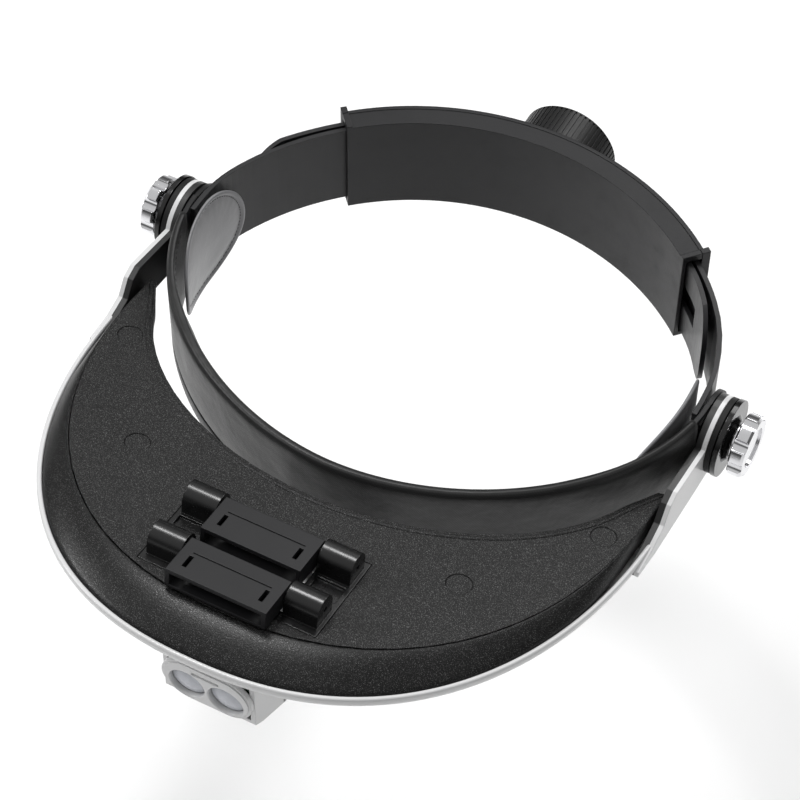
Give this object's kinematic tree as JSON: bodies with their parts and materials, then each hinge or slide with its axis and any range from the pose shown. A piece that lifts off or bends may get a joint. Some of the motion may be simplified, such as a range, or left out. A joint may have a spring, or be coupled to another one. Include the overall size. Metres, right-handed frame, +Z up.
{
  "type": "head visor magnifier",
  "caption": "Adjustable plastic headband with a tilting curved visor that carries hinged lens holders and a battery lamp under its brow.",
  "frame": {"origin": "middle of the object's footprint, on the surface it rests upside down on", "axes": "+Y from the visor's front edge to the knob at the back of the head, +Z up as it lies upside down (towards the wearer's chin), +X to the right as seen from the visor's front with the liner up"},
  "size_m": [0.2162, 0.2538, 0.0508],
  "materials": {
    "black_plastic": "moulded black plastic, fine grain",
    "grey_plastic": "moulded charcoal plastic, fine grain",
    "liner_plastic": "black plastic with a fine sparkling grain",
    "holder_plastic": "charcoal plastic, smooth",
    "white_plastic": "white plastic, satin gloss",
    "black_gloss": "black plastic, polished",
    "sweatband": "black padded band with stitching",
    "pad": "dark grey vinyl over foam",
    "knob_rubber": "black ribbed rubber",
    "disc_rubber": "black rubber",
    "steel": "plain steel",
    "chrome": "polished chrome",
    "brass": "turned brass",
    "lens_glass": "frosted clear plastic dome",
    "reflector": "bright metallised plastic",
    "led_resin": "clear yellowish resin",
    "board": "green board",
    "cell_steel": "printed sleeve over steel"
  },
  "bodies": {
    "headband": {"front_band": "black_plastic", "sweatband": "sweatband", "temple_pad_left": "pad", "temple_pad_right": "pad", "pivot_bolt_left": "steel", "pivot_bolt_right": "steel"},
    "left_strap": {"left_strap": "black_plastic"},
    "right_strap": {"right_strap": "black_plastic"},
    "rear_housing": {"rear_inner_cover": "grey_plastic", "rear_outer_cover": "grey_plastic", "ratchet_ring": "black_plastic"},
    "rear_knob": {"rear_knob": "knob_rubber", "pinion_shaft": "black_plastic", "knob_screw": "steel"},
    "visor": {"visor_shell": "white_plastic", "visor_arm_left": "white_plastic", "visor_arm_right": "white_plastic", "screw_posts": "white_plastic", "visor_liner": "liner_plastic", "liner_border": "liner_plastic", "liner_plugs": "liner_plastic", "liner_screws": "steel", "hinge_frame": "grey_plastic", "holder_pins": "steel", "friction_disc_left": "disc_rubber", "friction_disc_right": "disc_rubber", "pressure_disc_left": "black_gloss", "pressure_disc_right": "black_gloss", "lamp_bracket": "white_plastic", "bracket_screws": "steel", "lamp_pins": "steel"},
    "left_knob": {"star_knob_left": "chrome", "knob_nut_left": "brass"},
    "right_knob": {"star_knob_right": "chrome", "knob_nut_right": "brass"},
    "front_holder": {"lens_holder_front": "holder_plastic"},
    "rear_holder": {"lens_holder_rear": "holder_plastic"},
    "lamp": {"lamp_housing": "white_plastic", "lamp_bezel": "white_plastic", "lamp_lenses": "lens_glass", "lamp_reflectors": "reflector", "lamp_leds": "led_resin", "circuit_board": "board", "battery_cells": "cell_steel", "battery_contacts": "steel"},
    "battery_door": {"battery_door": "white_plastic"},
    "lamp_switch": {"switch_slider": "black_plastic"}
  },
  "joints": [
    {"name": "visor_tilt", "type": "hinge", "parent": "headband", "child": "visor", "pos_m": [0, 0.03275, 0.0225], "axis": [1, 0, 0], "range_deg": [-10, 70]},
    {"name": "band_adjust", "type": "slide", "parent": "headband", "child": "rear_housing", "axis": [0, 1, 0], "range_m": [-0.002, 0.003]},
    {"name": "left_strap_flex", "type": "hinge", "parent": "headband", "child": "left_strap", "pos_m": [-0.0894, 0.03275, 0.01875], "axis": [0, 0, 1], "range_deg": [-1.35, 2]},
    {"name": "right_strap_flex", "type": "hinge", "parent": "headband", "child": "right_strap", "pos_m": [0.0894, 0.03275, 0.01875], "axis": [0, 0, 1], "range_deg": [-2, 1.35]},
    {"name": "knob_turn", "type": "hinge", "parent": "rear_housing", "child": "rear_knob", "pos_m": [0, 0.11845, 0.01875], "axis": [0, 1, 0], "range_deg": [-24, 36]},
    {"name": "left_knob_turn", "type": "hinge", "parent": "headband", "child": "left_knob", "pos_m": [-0.105, 0.03275, 0.0225], "axis": [-1, 0, 0], "continuous": true},
    {"name": "right_knob_turn", "type": "hinge", "parent": "headband", "child": "right_knob", "pos_m": [0.105, 0.03275, 0.0225], "axis": [1, 0, 0], "continuous": true},
    {"name": "front_holder_hinge", "type": "hinge", "parent": "visor", "child": "front_holder", "pos_m": [0, -0.09602, 0.04436], "axis": [-1, 0, 0], "range_deg": [0, 100]},
    {"name": "rear_holder_hinge", "type": "hinge", "parent": "visor", "child": "rear_holder", "pos_m": [0, -0.07653, 0.04086], "axis": [-1, 0, 0], "range_deg": [0, 100]},
    {"name": "lamp_tilt", "type": "hinge", "parent": "visor", "child": "lamp", "pos_m": [0, -0.08655, 0.011], "axis": [-1, 0, 0], "range_deg": [0, 6]},
    {"name": "battery_door_slide", "type": "slide", "parent": "lamp", "child": "battery_door", "axis": [0, 1, 0], "range_m": [0, 0.009]},
    {"name": "switch_slide", "type": "slide", "parent": "lamp", "child": "lamp_switch", "axis": [0, 1, 0], "range_m": [0, 0.0035]}
  ],
  "couplings": [
    {"joint": "left_strap_flex", "follows": "band_adjust", "rad_per_m": 11.186},
    {"joint": "right_strap_flex", "follows": "band_adjust", "rad_per_m": -11.186},
    {"joint": "knob_turn", "follows": "band_adjust", "rad_per_m": 200.6}
  ]
}
